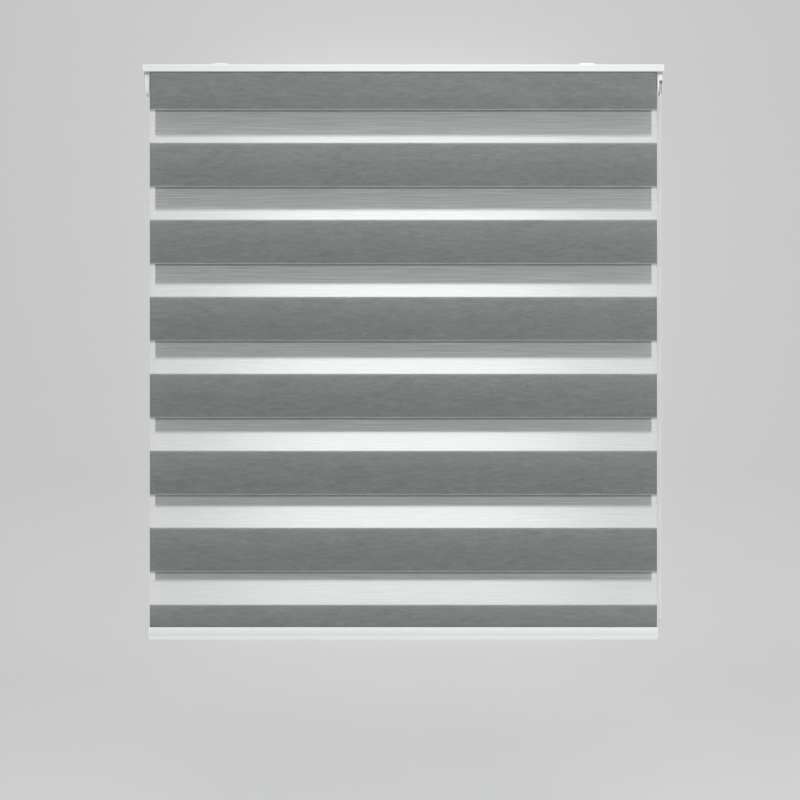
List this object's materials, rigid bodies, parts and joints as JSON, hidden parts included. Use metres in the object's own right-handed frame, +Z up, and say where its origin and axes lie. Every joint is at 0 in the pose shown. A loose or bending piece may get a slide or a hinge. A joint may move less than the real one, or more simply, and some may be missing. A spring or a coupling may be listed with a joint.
{
  "type": "day and night blind",
  "caption": "Roller blind with one striped cloth loop that turns from sheer to opaque, a slim headrail, a bead chain drive and a weighted bottom bar.",
  "frame": {"origin": "middle of the mounting plane: the top of the two mounting clips, midway between their screw holes", "axes": "+Z up out of the mounting plane, +X to the viewer's right along the roller, +Y away from the viewer, towards the window"},
  "size_m": [0.88, 0.0444, 0.9753],
  "materials": {
    "white_coated_aluminium": "satin powder coat",
    "mill_aluminium": "as extruded",
    "white_plastic": "moulded, semi-gloss",
    "chain_plastic": "moulded, gloss",
    "clear_strip": "extruded",
    "zinc_spring_steel": "zinc plated",
    "screw_steel": "plated",
    "grey_nylon": "moulded",
    "acetal": "moulded",
    "cloth": "woven, with opaque and sheer stripes"
  },
  "bodies": {
    "headrail_frame": {"headrail": "white_coated_aluminium", "headrail_fabric_strip": "clear_strip", "mounting_clip_left": "zinc_spring_steel", "mounting_clip_right": "zinc_spring_steel", "drive_end_plate": "white_plastic", "idle_end_plate": "white_plastic", "end_plate_screws": "screw_steel", "chain_guard": "white_plastic", "idle_cover": "white_plastic", "drive_spindle": "grey_nylon", "spindle_screw": "screw_steel", "spindle_clip": "screw_steel", "idle_pin": "screw_steel", "ball_chain": "chain_plastic", "fabric": "cloth"},
    "roller": {"roller_tube": "mill_aluminium", "tube_fabric_strip": "clear_strip", "fabric_turns": "cloth", "drive_hub": "grey_nylon", "idle_plug": "grey_nylon", "idle_bush": "acetal", "chain_wheel": "white_plastic", "brake_springs": "screw_steel"},
    "bottom_bar": {"bottom_rail": "white_coated_aluminium", "bottom_inner_bar": "mill_aluminium", "bottom_cap_left": "white_plastic", "bottom_cap_right": "white_plastic"}
  },
  "joints": [
    {"name": "roller_turn", "type": "hinge", "parent": "headrail_frame", "child": "roller", "pos_m": [0, 0, -0.0346], "axis": [1, 0, 0], "range_deg": [0, 6160]},
    {"name": "bottom_bar_lift", "type": "slide", "parent": "headrail_frame", "child": "bottom_bar", "axis": [0, 0, 1], "range_m": [0, 0.86], "deforming": ["fabric"]}
  ],
  "couplings": [
    {"joint": "roller_turn", "follows": "bottom_bar_lift", "rad_per_m": 125}
  ]
}
